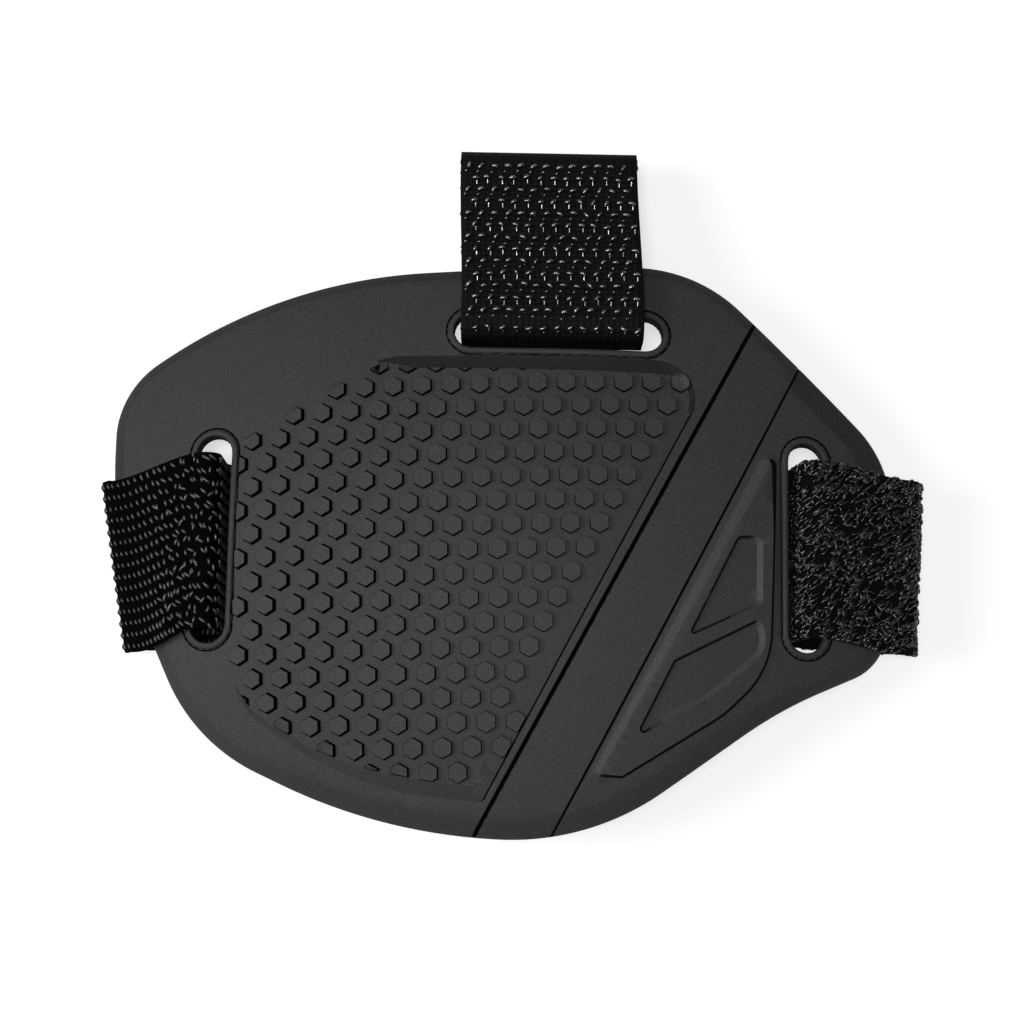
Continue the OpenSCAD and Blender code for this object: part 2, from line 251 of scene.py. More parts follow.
# The top of a stud is smaller than its foot and lies to the left of it, most at the far left.
LEAN = ramp((-CENTRES[..., 0] - 2) / 40)
INSET, SHIFT = 0.125 + 0.19 * LEAN, 0.02 + 0.26 * LEAN


def flats(d):
    """Half the distance across the flats of the hexagon through each point."""
    return np.maximum(np.abs(d[:, 0]), np.maximum(np.abs(d[:, 0] / 2 + d[:, 1] * math.sqrt(3) / 2),
                                                  np.abs(d[:, 0] / 2 - d[:, 1] * math.sqrt(3) / 2)))


def stud_height(p):
    """Share of a stud's height at each point: 0 outside its foot, 1 on its top."""
    t = math.radians(STUD_TURN)
    q = np.c_[p[:, 0] * math.cos(t) + p[:, 1] * math.sin(t), -p[:, 0] * math.sin(t) + p[:, 1] * math.cos(t)]
    q = q - STUD_ORIGIN
    best = np.zeros(len(p))
    row0 = np.round(q[:, 1] / STUD_ROW)
    for dj in (-1, 0, 1):
        row = row0 + dj
        off = (np.abs(row) % 2) / 2
        col = np.round(q[:, 0] / STUD_PITCH - off)
        d = q - np.c_[(col + off) * STUD_PITCH, row * STUD_ROW]
        j = np.clip(row - STUD_ROWS[0], 0, KEEP.shape[0] - 1).astype(int)
        i = np.clip(col - STUD_COLS[0], 0, KEEP.shape[1] - 1).astype(int)
        foot = STUD_FLATS / 2 - flats(d)
        top = STUD_FLATS / 2 - INSET[j, i] - flats(d + np.c_[SHIFT[j, i], 0 * col])
        share = np.where(top >= 0, 1.0, np.where(foot <= 0, 0.0, foot / np.maximum(foot - top, 1e-9)))
        best = np.maximum(best, share * KEEP[j, i])
    trim = ramp((signed(p, FIELD_RING) - 0.1) / 0.12)
    low_edge = signed(p, PANEL_RING) - wall_width(p)
    y = p[:, 1]
    panel = np.where(y > WIDE_WALL_Y, STUD_TOP_Y - y, np.where(y < -WIDE_WALL_Y, low_edge, 1.0))
    return best * trim * ramp(panel / 0.15)


def plateau_widths(p):
    """Slope widths of the plateau's long left side and of its other sides."""
    y = p[:, 1]
    return 1.1 + 0.8 * ramp((y + 38) / 50), 0.45 + 0.5 * ramp((y - 2) / 12)


def pocket_width(p, k):
    """The pockets' right and lower walls slope more than their left and upper ones."""
    if k == 0:
        return 0.45 + 0.6 * ramp((p[:, 0] - 43.2) / 0.8)
    d = signed(p, POCKET_RINGS[1]) + 0.05
    left = np.abs(off_line(p, (LOWER_POCKET[0][:2], LOWER_POCKET[1][:2])))
    top = np.abs(off_line(p, (LOWER_POCKET[0][:2], LOWER_POCKET[4][:2])))
    return 0.45 + 0.6 * ((d < left) & (d < top)) * ramp((p[:, 0] - 25) / 4)


def relief(p):
    """Height of the pad's face above its plain dome."""
    h = np.zeros(len(p))
    edge = signed(p, RING)
    h -= (WALL - EDGE_T) * ramp(1 - edge / bevel_width(p))
    h -= 0.3 * (1 - np.sqrt(1 - ramp(1 - edge / RIM_ROUND) ** 2))
    panel = signed(p, PANEL_RING)
    h -= floor_depth(p) * ramp(panel / wall_width(p))
    h += STUD_H * stud_height(p)
    for line, half, depth in GROOVES:
        h -= depth * np.sqrt(ramp(1 - (off_line(p, line) / half) ** 2))
    left_w, right_w = plateau_widths(p)
    rise = np.minimum(ramp(off_line(p, PLATEAU_LEFT) / left_w),
                      ramp(signed(p, PLATEAU_RIGHT_RING) / right_w))
    h += PLATEAU_H * rise
    for k, ring in enumerate(POCKET_RINGS):
        h -= POCKET_D * ramp(signed(p, ring) / pocket_width(p, k))
    for k in range(len(SLOTS)):
        d = off_slot(p, k)
        t = d / BEAD_W * 2 - 1
        h += BEAD_H * np.sqrt(ramp(1 - np.clip(t, -1, 1) ** 2)) * (d < BEAD_W + 0.01)
        h -= BEAD_LINE_D * np.sqrt(ramp(1 - ((d - BEAD_W - BEAD_LINE) / BEAD_LINE_HALF) ** 2))
        h -= 0.25 * (1 - np.sqrt(1 - ramp(1 - np.maximum(d, 0) / 0.3) ** 2))
    return h


def shade(p):
    """Painted light and shade of each face: the slopes of the rim and of the panel are painted darker than
    the faces, as painted shade, and so are the plateau's right wall and the pockets' steep walls; painted
    highlight lightens the stud tops, the plateau's left slope and the pockets' wide walls.
    """
    out = np.ones(len(p))
    edge, panel = signed(p, RING), signed(p, PANEL_RING)
    x, y = p.T
    # Painted shade on the rim bevels, and on the panel's wedge and crescent.
    out = np.where((edge < bevel_width(p)) & (edge > 0), np.where(y > 0, RIM_SHADE_TOP, RIM_SHADE_LOW), out)
    slope = (panel > 0) & (panel < wall_width(p)) & (wall_width(p) > 0.4)
    out = np.where(slope & (y > 20), WEDGE_SHADE, out)
    out = np.where(slope & (y < -20), CRESCENT_SHADE, out)
    # Painted highlight: the stud tops are lighter.
    out = np.where(stud_height(p) > 0.99, STUD_TOP_HIGHLIGHT, out)
    left_w, right_w = plateau_widths(p)
    inner, wall = off_line(p, PLATEAU_LEFT), signed(p, PLATEAU_RIGHT_RING)
    on_plateau = signed(p, PLATEAU_RING) > 0
    # Painted highlight on the plateau's left slope, painted shade on its right wall.
    out = np.where((inner > 0) & (inner < left_w) & on_plateau, LIT_SLOPE_HIGHLIGHT, out)
    right_wall = (wall > 0) & (wall < right_w) & on_plateau & (inner > left_w * 0.8)
    out = np.where(right_wall, PLATEAU_WALL_SHADE, out)
    # Pocket walls: painted highlight on the wide ones, painted shade on the steep ones.
    for k, ring in enumerate(POCKET_RINGS):
        d = signed(p, ring)
        w = pocket_width(p, k)
        low = (x + 1.9 * y > 13.9) & (k == 0) & (y < -9) | (w > 0.5) & (w < 0.9)
        painted_light = np.where(w > 0.8, LIT_SLOPE_HIGHLIGHT, np.where(low, 1.0, POCKET_WALL_SHADE))
        out = np.where((d > 0) & (d < w), painted_light, out)
    return out


def painted_cavity_shade(p):
    """True where a face lies on a stud's wall or down in a groove; these faces take the near-black rubber as
    painted shade.
    """
    s = stud_height(p)
    low = (s > 0.02) & (s < 0.98)
    low |= np.abs(off_line(p, GROOVE_1)) < 0.36
    low |= np.abs(off_line(p, GROOVE_2)) < 0.2
    side = (p - RIGHT_EDGE[0]) @ RIGHT_EDGE[1]
    low |= (side > 0.0) & (side < 0.3) & (signed(p, PANEL_RING) > 0)
    for k in range(len(SLOTS)):
        low |= np.abs(off_slot(p, k) - BEAD_W - BEAD_LINE) < 0.13
    return low


def dome(p, r):
    """Height of the dome of radius r about the pad's own centre."""
    return CROWN_Z - DOME_R + np.sqrt(r * r - (p[:, 0] - CROWN_X) ** 2 - p[:, 1] ** 2)


def shifted(ring, widths):
    """A ring moved inwards by a width for each point."""
    along = np.roll(ring, -1, 0) - np.roll(ring, 1, 0)
    along /= np.linalg.norm(along, axis=1)[:, None]
    return ring + np.c_[-along[:, 1], along[:, 0]] * widths[:, None]


def triangulate(rings, lines, spots):
    """Triangles inside the pad's outline that follow closed rings and open lines; spots even them out."""
    verts, edges = [], []
    for ring in rings:
        base = len(verts)
        verts += [Vector((float(x), float(y))) for x, y in ring]
        edges += [(base + i, base + (i + 1) % len(ring)) for i in range(len(ring))]
    for line in lines:
        base = len(verts)
        verts += [Vector((float(x), float(y))) for x, y in line]
        edges += [(base + i, base + i + 1) for i in range(len(line) - 1)]
    verts += [Vector((float(x), float(y))) for x, y in spots]
    out, _, faces, *_ = delaunay_2d_cdt(verts, edges, [], 0, 1e-5)
    points = np.array([v[:] for v in out])
    faces = np.array([f for f in faces if len(f) == 3])
    middle = points[faces].mean(1)
    keep = signed(middle, RING_FINE) > 0
    for k in range(len(SLOTS)):
        keep &= off_slot(middle, k) > -0.02
    return points, faces[keep]


RING_FINE = even(RING, 1.6)


def grid(step):
    """Spots spread over the pad, clear of its edge and slots."""
    xs, ys = np.arange(-74, 71, step), np.arange(-52, 52, step)
    g = np.array([(x + (j % 2) * step / 2, y) for j, y in enumerate(ys) for x in xs])
    keep = signed(g, RING_FINE) > 0.8
    for k in range(len(SLOTS)):
        keep &= off_slot(g, k) > 1.8
    return g[keep]


def mesh_object(name, verts, faces, materials, face_material=None, uv=None, sharp=None):
    mesh = bpy.data.meshes.new(name)
    faces = [tuple(int(i) for i in f) for f in faces]
    mesh.from_pydata([tuple(v) for v in np.asarray(verts) * MM], [], faces)
    for m in materials:
        mesh.materials.append(m)
    if face_material is not None:
        mesh.polygons.foreach_set("material_index", np.asarray(face_material, np.int32))
    if uv is not None:
        layer = mesh.uv_layers.new(name="UVMap")
        loops = np.zeros(len(mesh.loops), np.int32)
        mesh.loops.foreach_get("vertex_index", loops)
        layer.data.foreach_set("uv", np.asarray(uv, np.float32)[loops].ravel())
    mesh.polygons.foreach_set("use_smooth", np.ones(len(mesh.polygons), bool))
    if sharp:
        mesh.set_sharp_from_angle(angle=math.radians(sharp))
    mesh.update()
    obj = bpy.data.objects.new(name, mesh)
    bpy.context.scene.collection.objects.link(obj)
    return obj


def face_rings():
    """Closed rings that the face's mesh follows: rim, slots, panel, plateau and pockets."""
    rings = [RING_FINE, shifted(RING_FINE, np.full(len(RING_FINE), 0.2)),
             shifted(RING_FINE, np.full(len(RING_FINE), RIM_ROUND)),
             shifted(RING_FINE, bevel_width(RING_FINE) + 0.02)]
    for k in range(len(SLOTS)):
        rings += [slot_ring(k, g) for g in (0, 0.1, 0.3, 0.6, 0.9, 1.1, BEAD_W, 1.4, 1.62)]
    panel = even(PANEL_RING, 1.2)
    rings += [panel, shifted(panel, wall_width(panel)), shifted(panel, wall_width(panel) + 0.15),
              even(outline(FIELD, 0.2, 12), 1.5), even(outline(FIELD, 0.32, 12), 1.5)]
    plateau = even(PLATEAU_RING, 1.5)
    on_left = np.abs(off_line(plateau, PLATEAU_LEFT)) < 0.1
    left_w, right_w = plateau_widths(plateau)
    rings += [plateau, shifted(plateau, np.where(on_left, left_w, right_w))]
    for k, ring in enumerate(POCKET_RINGS):
        ring = even(ring, 1.2)
        rings += [ring, shifted(ring, pocket_width(ring, k))]
    return rings


def groove_lines():
    """Lines along the two grooves, across their width."""
    lines = []
    for line, half, _ in GROOVES:
        a, b = np.array(line[0]), np.array(line[1])
        d = unit(b - a)
        n = np.array([-d[1], d[0]])
        for f in (-1, -0.7, 0, 0.7, 1):
            lines.append([a - d * 2 + (b - a + d * 4) * t + n * half * f for t in np.linspace(0, 1, 60)])
    return lines


def stud_rings():
    """Foot and top of each stud."""
    turn, rings = stud_turn(), []
    angles = [math.radians(30 + 60 * i) for i in range(6)]
    hexa = np.array([(math.cos(a), math.sin(a)) for a in angles])
    for j, i in zip(*np.nonzero(KEEP)):
        for inset, shift in ((0, 0), (INSET[j, i], SHIFT[j, i])):
            size = (STUD_FLATS / 2 - inset) * 2 / math.sqrt(3)
            rings.append(CENTRES[j, i] + ((hexa * size) - (shift, 0)) @ turn.T)
    return rings


def nearest(index, p):
    """The vertex at a point, or else the one closest to it."""
    key = (round(p[0], 3), round(p[1], 3))
    if key in index:
        return index[key]
    return min(index.items(), key=lambda kv: (kv[0][0] - p[0]) ** 2 + (kv[0][1] - p[1]) ** 2)[1]


def build_pad(face, low):
    """The moulded pad: its face with all relief, its plain back, and the walls between them."""
    points, faces = triangulate(face_rings() + stud_rings(), groove_lines(), grid(2.2))
    front = np.c_[points, dome(points, DOME_R) + relief(points)]
    back_rings = [RING_FINE] + [slot_ring(k, 0) for k in range(len(SLOTS))]
    back_xy, back_faces = triangulate(back_rings, [], grid(3.0))
    back = np.c_[back_xy, dome(back_xy, DOME_R - WALL)]
    verts = np.vstack([front, back])
    all_faces = [tuple(f) for f in faces] + [tuple(f[::-1] + len(front)) for f in back_faces]
    middle = points[faces].mean(1)
    # Walls and grooves take the near-black rubber as painted shade, and each face keeps its painted light and
    # shade as a factor.
    which, painted_light = list(painted_cavity_shade(middle).astype(int)), list(shade(middle))
    index_f = {(round(x, 3), round(y, 3)): i for i, (x, y) in enumerate(points)}
    index_b = {(round(x, 3), round(y, 3)): i + len(front) for i, (x, y) in enumerate(back_xy)}
    for n, ring in enumerate(back_rings):
        f = [nearest(index_f, p) for p in ring]
        b = [nearest(index_b, p) for p in ring]
        for i in range(len(ring)):
            j = (i + 1) % len(ring)
            quad = (f[i], b[i], b[j], f[j])
            all_faces.append(quad if n == 0 else quad[::-1])
    which += [0] * (len(all_faces) - len(which))
    painted_light += [1.0] * (len(all_faces) - len(painted_light))
    obj = mesh_object("pad_shell", verts, all_faces, [face, low], which, sharp=32)
    # This face attribute holds the painted light and shade.
    layer = obj.data.attributes.new("painted_light", "FLOAT", "FACE")
    layer.data.foreach_set("value", np.array(painted_light, np.float32))
    return obj


# ---------------------------------------------------------------- straps
class Line:
    """A strap's centre line in its own plane, with the shift and turn of its width.

    Each corner gives its place, its height, the bend's radius, the sideways shift and the turn in degrees.
    """

    def __init__(self, corners, along_y=False):
        self.along_y = along_y
        pts = [(corners[0][0], corners[0][1], corners[0][3], corners[0][4])]
        k = len(corners)

        def reach(i):
            if i in (0, k - 1):
                return 0.0
            a, b, c = (np.array(corners[j][:2], float) for j in (i - 1, i, i + 1))
            u, v = unit(a - b), unit(c - b)
            if np.linalg.norm(u + v) < 0.001:
                return 0.0
            return corners[i][2] / math.tan(math.acos(max(-1, min(1, u @ v))) / 2)

        for i in range(1, k):
            a, b = np.array(corners[i - 1][:2], float), np.array(corners[i][:2], float)
            length = np.linalg.norm(b - a)
            s0, s1 = reach(i - 1), length - reach(i)
            for f in np.linspace(0, 1, 13)[1:-1]:
                q = a + (b - a) * (s0 + (s1 - s0) * f) / length
                g = f * f * (3 - 2 * f)
                pts.append((q[0], q[1], corners[i - 1][3] + (corners[i][3] - corners[i - 1][3]) * g,
                            corners[i - 1][4] + (corners[i][4] - corners[i - 1][4]) * g))
            if i < k - 1:
                for p in corner(corners[i - 1], corners[i], corners[i + 1], corners[i][2], 0, 12):
                    pts.append((p[0], p[1], corners[i][3], corners[i][4]))
            else:
                pts.append((corners[i][0], corners[i][1], corners[i][3], corners[i][4]))
        self.pts = np.array(pts, float)
        self.s = np.r_[0, np.cumsum(np.hypot(*np.diff(self.pts[:, :2], axis=0).T))]
        self.length = self.s[-1]

    def at(self, s, v, h):
        """Points at arc length s, v across, h off the middle; s, v and h are arrays."""
        s, v, h = (np.asarray(a, float) for a in np.broadcast_arrays(s, v, h))
        flat = s.ravel()
        p = np.array([np.interp(flat, self.s, self.pts[:, i]) for i in range(4)]).T
        e = 0.25
        q0 = np.array([np.interp(flat - e, self.s, self.pts[:, i]) for i in range(2)]).T
        q1 = np.array([np.interp(flat + e, self.s, self.pts[:, i]) for i in range(2)]).T
        t = q1 - q0
        t /= np.maximum(np.linalg.norm(t, axis=1), 1e-9)[:, None]
        w = np.radians(p[:, 3])
        vv, hh = v.ravel(), h.ravel()
        x = p[:, 0] - np.sin(w) * vv - t[:, 1] * hh
        y = p[:, 2] + np.cos(w) * vv
        z = p[:, 1] + t[:, 0] * hh
        out = np.c_[-y, x, z] if self.along_y else np.c_[x, y, z]
        return out.reshape(s.shape + (3,))


def sheet_mesh(line, s0, s1, half, low, high, nv, step):
    """A closed band between two height functions of (s, v)."""
    ns = max(2, int(round((s1 - s0) / step)))
    s = np.linspace(s0, s1, ns + 1)[:, None]
    v = np.linspace(-half, half, nv + 1)[None, :]
    top = line.at(s + 0 * v, v + 0 * s, high(s, v)).reshape(-1, 3)
    bottom = line.at(s + 0 * v, v + 0 * s, low(s, v)).reshape(-1, 3)
    n, m = ns + 1, nv + 1
    faces = []
    for i in range(n - 1):
        for j in range(m - 1):
            a = i * m + j
            faces.append((a, a + m, a + m + 1, a + 1))
            faces.append((a + n * m + 1, a + n * m + m + 1, a + n * m + m, a + n * m))
    for i in range(n - 1):
        for j, flip in ((0, False), (m - 1, True)):
            a, b = i * m + j, (i + 1) * m + j
            quad = (a, a + n * m, b + n * m, b)
            faces.append(quad[::-1] if flip else quad)
    for j in range(m - 1):
        for i, flip in ((0, True), (n - 1, False)):
            a, b = i * m + j, i * m + j + 1
            quad = (a, a + n * m, b + n * m, b)
            faces.append(quad[::-1] if flip else quad)
    uv = np.vstack([np.c_[(s + 0 * v).ravel(), (v + 0 * s).ravel()]] * 2) / 10
    return np.vstack([top, bottom]), faces, uv


def tubes(paths, radius, sides=4):
    """Closed tubes along many paths of equal count; paths is (K, S, 3)."""
    k, s, _ = paths.shape
    t = np.gradient(paths, axis=1)
    t /= np.maximum(np.linalg.norm(t, axis=2), 1e-9)[..., None]
    ref = np.zeros_like(t)
    ref[..., 0], ref[..., 1], ref[..., 2] = 0.31, 0.52, 0.79
    a = np.cross(t, ref)
    a /= np.maximum(np.linalg.norm(a, axis=2), 1e-9)[..., None]
    b = np.cross(t, a)
    ang = np.arange(sides) * 2 * math.pi / sides
    r = np.broadcast_to(np.asarray(radius, float).reshape(-1, 1, 1, 1), (k, s, sides, 1))
    across = a[:, :, None] * np.cos(ang)[:, None] + b[:, :, None] * np.sin(ang)[:, None]
    ring = paths[:, :, None] + r * across
    verts = ring.reshape(-1, 3)
    i, j, m = np.meshgrid(np.arange(k), np.arange(s - 1), np.arange(sides), indexing="ij")
    base = (i * s + j) * sides
    nxt = (m + 1) % sides
    quads = np.stack([base + m, base + nxt, base + nxt + sides, base + m + sides], -1).reshape(-1, 4)
    ends = []
    for q in range(k):
        ends.append(tuple(q * s * sides + n for n in range(sides)))
        ends.append(tuple((q * s + s - 1) * sides + n for n in range(sides))[::-1])
    return verts, [tuple(f) for f in quads[:, ::-1]] + ends


def join(parts):
    """One mesh from (verts, faces, uv or None, material index) parts."""
    verts, faces, uvs, mats, base = [], [], [], [], 0
    for v, f, uv, m in parts:
        verts.append(v)
        faces += [tuple(int(i) + base for i in q) for q in f]
        uvs.append(np.zeros((len(v), 2)) if uv is None else uv)
        mats += [m] * len(f)
        base += len(v)
    return np.vstack(verts), faces, np.vstack(uvs), mats


def const(value):
    """A height function that is the same all over a strap."""
    return lambda s, v: value + 0 * s + 0 * v


RIBS, FLOAT_PITCH, HATCH_PITCH = 15, 1.02, 0.52
RIB_PITCH = STRAP_W / RIBS
# A strap's mesh: quads across it, and the length of a quad along it.
ACROSS, ALONG = 24, 0.8


def elastic_face(half, side, t):
    """Shallow ribs that run along the strap."""
    def height(s, v):
        phase = (v / half + 1) / 2 * RIBS
        rib = np.abs(np.sin(math.pi * phase))
        return side * (t / 2 - 0.5 + 0.22 * rib ** 1.5)
    return height


def lattice(places, count):
    """Places along a strap and the number of the rib, for every pair of them."""
    return (a.ravel() for a in np.meshgrid(places, np.arange(count), indexing="ij"))


def elastic_floats(line, side, bend_s, fold_s, r):
    """Floats of yarn across each rib: flat near the fold, where they merge, and broken up near the slot."""
    half = STRAP_W / 2
    ss, rr = lattice(np.arange(0.6, line.length - 0.6, FLOAT_PITCH), RIBS)
    n = len(ss)
    vv = -half + (rr + 0.5) * RIB_PITCH
    near_fold = smooth(1 - np.abs(ss - fold_s + 3.0) / 9.0)
    near_slot = smooth(1 - np.abs(ss - bend_s - 2.0) / 11.0)
    ss = ss + r.normal(0, 0.06, n) + near_slot * r.normal(0, 0.34, n) + 0.5 * (rr % 2) * near_slot
    vv = np.clip(vv + near_slot * r.normal(0, 0.42, n), -half + 0.3, half - 0.3)
    reach = (0.54 - 0.2 * near_fold) * (1 - 0.25 * near_slot) * r.uniform(0.85, 1.12, n)
    tall = (0.27 + 0.02 * near_fold) * r.uniform(0.8, 1.0, n)
    a = np.linspace(-1, 1, 5)[None, :]
    slant = (0.26 + near_slot * r.normal(0, 0.6, n))[:, None]
    paths = line.at(ss[:, None] + a * reach[:, None] * slant * 1.2, vv[:, None] + a * reach[:, None],
                    side * (ELASTIC_T / 2 - 0.5 + tall[:, None] * (1 - 0.75 * a * a)))
    return tubes(paths, (0.28 - 0.11 * near_fold - 0.05 * near_slot) * r.uniform(0.9, 1.1, n), 5)


def elastic_crests(line, fold_s):
    """One unbroken yarn on the crest of each rib, seen where the floats lie flat."""
    n = 60
    s = np.linspace(max(fold_s - 11, 0.2), fold_s + 6, n)
    middles = [-STRAP_W / 2 + (k + 0.5) * RIB_PITCH for k in range(RIBS)]
    paths = np.stack([line.at(s, np.full(n, v), np.full(n, ELASTIC_T / 2 - 0.2)) for v in middles])
    return tubes(paths, 0.13, 5)


def elastic_hatch(line, bend_s, fold_s):
    """A fine slanted hatch between the ribs."""
    ss, rr = lattice(np.arange(bend_s - 3, fold_s + 3, HATCH_PITCH), RIBS - 1)
    vv = -STRAP_W / 2 + (rr + 1.0) * RIB_PITCH
    a = np.linspace(-1, 1, 3)[None, :]
    paths = line.at(ss[:, None] + a * 0.2, vv[:, None] + a * 0.5,
                    ELASTIC_T / 2 - 0.46 + 0 * a + 0 * ss[:, None])
    return tubes(paths, 0.075, 4)


def build_elastic(line, materials, bend_s, fold_s):
    """Dark ground with ribs, bright floats of yarn across each rib, and a fine slanted hatch between them."""
    r = np.random.default_rng(11)
    half = STRAP_W / 2
    v, f, uv = sheet_mesh(line, 0, line.length, half, elastic_face(half, -1, ELASTIC_T),
                          elastic_face(half, 1, ELASTIC_T), RIBS * 4, ALONG)
    parts = [(v, f, uv, 0), (*elastic_floats(line, 1, bend_s, fold_s, r), None, 1),
             (*elastic_crests(line, fold_s), None, 1), (*elastic_hatch(line, bend_s, fold_s), None, 2),
             (*elastic_floats(line, -1, bend_s, fold_s, r), None, 1)]
    v, f, uv, m = join(parts)
    return mesh_object("elastic_band", v, f, materials, m, uv)


def pile_loops(line, s0, s1, half, h0, side, density, seed, lift=0.75, thick=0.19):
    """Small loops of yarn standing on a strap's face, most of them leaning one way."""
    r = np.random.default_rng(seed)
    n = int((s1 - s0) * 2 * half * density)
    s = r.uniform(s0 + 0.2, s1 - 0.2, n)
    v = r.uniform(-half + 0.15, half - 0.15, n)
    turn = np.radians(np.where(r.random(n) < 0.8, r.normal(48, 14, n), r.uniform(0, 180, n)))
    size = r.uniform(0.45, 1.1, n)
    tall = r.uniform(0.45, 1.0, n) * lift
    lean = r.uniform(-0.35, 0.35, n)
    a = np.linspace(-0.2, 1.2, 9)[None, :] * math.pi
    c = -np.cos(a) * size[:, None]
    up = (np.sin(a) + 0.35) / 1.35 * tall[:, None]
    ss = s[:, None] + c * np.cos(turn)[:, None] - up * lean[:, None]
    vv = np.clip(v[:, None] + c * np.sin(turn)[:, None] + up * lean[:, None], -half, half)
    paths = line.at(np.clip(ss, s0 - 0.1, s1 + 0.1), vv, side * (h0 + up - 0.05))
    return tubes(paths, r.uniform(0.75, 1.1, n) * thick, 5)


def hook_rows(line, s0, s1, half, h0, side, seed, pitch_s=2.6, pitch_v=2.44):
    """Rows of moulded hooks in an offset lattice; every second row has a leg below its bar."""
    r = np.random.default_rng(seed)
    bars, legs = [], []
    t = np.linspace(-1, 1, 7)
    for i, s in enumerate(np.arange(s0 + 0.9, s1 - 0.6, pitch_s)):
        lift = (line.at(s, 0, 1) - line.at(s, 0, 0))[..., 2]
        if abs(lift) < 0.9:
            continue
        for v in np.arange(-half + 1.0 + (i % 2) * pitch_v / 2, half - 0.7, pitch_v):
            cs, cv = s + r.normal(0, 0.1), v + r.normal(0, 0.1)
            reach = r.uniform(0.42, 0.62)
            slant = math.radians(r.normal(-12, 24) - 32 * smooth((v - half + 7) / 6))
            top = r.uniform(0.72, 0.95)
            bar_v = np.clip(cv + t * reach * math.cos(slant), -half, half)
            bars.append(np.c_[cs + t * reach * math.sin(slant), bar_v,
                              h0 + top * (1 - 0.55 * t ** 4 - 0.12 * t * t)])
            if i % 2 == 0:
                leg = cs - 0.45 - (t + 1) * 0.4, cv - 0.22 + 0 * t, h0 + top * (0.75 - 0.3 * (t + 1))
            else:
                leg = cs - 1.0 - (t + 1) * 0.1, cv + 0.5 + t * 0.2, h0 + top * (0.62 - 0.2 * t * t)
            legs.append(np.c_[leg])
    out = []
    for rows, thick in ((bars, 0.3), (legs, 0.16)):
        p = np.array(rows)
        paths = line.at(p[..., 0], p[..., 1], side * p[..., 2])
        out.append(tubes(paths, r.uniform(0.85, 1.1, len(p)) * thick, 6))
    v, f, _, _ = join([(a, b, None, 0) for a, b in out])
    return v, f


def thread_path(points):
    return tubes(np.asarray(points, float)[None], THREAD_R, 6)


# ---------------------------------------------------------------- materials
def noise_node(nt, scale, detail):
    coords = nt.nodes.new("ShaderNodeTexCoord")
    noise = nt.nodes.new("ShaderNodeTexNoise")
    noise.inputs["Scale"].default_value = scale
    noise.inputs["Detail"].default_value = detail
    nt.links.new(coords.outputs["Object"], noise.inputs["Vector"])
    return noise


def bump_node(nt, height, strength, distance, invert=False):
    node = nt.nodes.new("ShaderNodeBump")
    node.inputs["Strength"].default_value = strength
    node.inputs["Distance"].default_value = distance
    node.invert = invert
    nt.links.new(height, node.inputs["Height"])
    nt.links.new(node.outputs["Normal"], nt.nodes["Principled BSDF"].inputs["Normal"])


def tint_by_noise(nt, tint):
    """Colour between a dark and a light one, by fine noise; returns the colour's socket."""
    scale, dark, light = tint
    noise = noise_node(nt, scale, 4)
    mix = nt.nodes.new("ShaderNodeValToRGB")
    low, high = mix.color_ramp.elements
    low.position, high.position = 0.35, 0.65
    low.color, high.color = (*dark, 1), (*light, 1)
    nt.links.new(noise.outputs["Fac"], mix.inputs["Fac"])
    return mix.outputs["Color"]


def scale_by_painted_light(nt, color, spec, painted_light):
    """Colour and gloss times the painted light and shade that the mesh keeps for each face."""
    b = nt.nodes["Principled BSDF"]
    layer, scaled, gloss = (nt.nodes.new(n) for n in (
        "ShaderNodeAttribute", "ShaderNodeVectorMath", "ShaderNodeMath"))
    layer.attribute_name = painted_light
    scaled.operation = gloss.operation = "MULTIPLY"
    gloss.inputs[1].default_value = spec
    nt.links.new(color, scaled.inputs[0])
    nt.links.new(layer.outputs["Vector"], scaled.inputs[1])
    nt.links.new(layer.outputs["Fac"], gloss.inputs[0])
    nt.links.new(scaled.outputs["Vector"], b.inputs["Base Color"])
    nt.links.new(gloss.outputs[0], b.inputs["Specular IOR Level"])


def material(name, color, rough, spec=0.5, bump=None, tint=None, coat=0.0, ior=1.5, painted_light=None):
    m = bpy.data.materials.new(name)
    m.use_nodes = True
    nt = m.node_tree
    b = nt.nodes["Principled BSDF"]
    b.inputs["Base Color"].default_value = (*color, 1)
    b.inputs["Roughness"].default_value = rough
    b.inputs["Specular IOR Level"].default_value = spec
    b.inputs["IOR"].default_value = ior
    b.inputs["Coat Weight"].default_value = coat
    if tint:
        mixed = tint_by_noise(nt, tint)
        nt.links.new(mixed, b.inputs["Base Color"])
        if painted_light:
            scale_by_painted_light(nt, mixed, spec, painted_light)
    if bump:
        scale, strength, distance = bump
        bump_node(nt, noise_node(nt, scale, 3).outputs["Fac"], strength, distance)
    return m


def weave_material(name, color, rough, cells):
    """Cloth whose over-and-under is a bump in the strap's own coordinates."""
    m = material(name, color, rough, 0.12)
    nt = m.node_tree
    uv = nt.nodes.new("ShaderNodeUVMap")
    mapping = nt.nodes.new("ShaderNodeMapping")
    mapping.inputs["Scale"].default_value = (cells, cells, 1)
    check = nt.nodes.new("ShaderNodeTexVoronoi")
    check.inputs["Scale"].default_value = 1.0
    check.inputs["Randomness"].default_value = 0.25
    nt.links.new(uv.outputs["UV"], mapping.inputs["Vector"])
    nt.links.new(mapping.outputs["Vector"], check.inputs["Vector"])
    bump_node(nt, check.outputs["Distance"], 0.9, 0.0004, invert=True)
    return m


# The rubber's colour and gloss are scaled per face by painted light and shade.
RUBBER = material("rubber", (0.028, 0.028, 0.0285), 0.65, 0.3, bump=(4200, 0.3, 0.0001),
                  tint=(4200, (0.018, 0.018, 0.0185), (0.043, 0.043, 0.0435)), painted_light="painted_light")
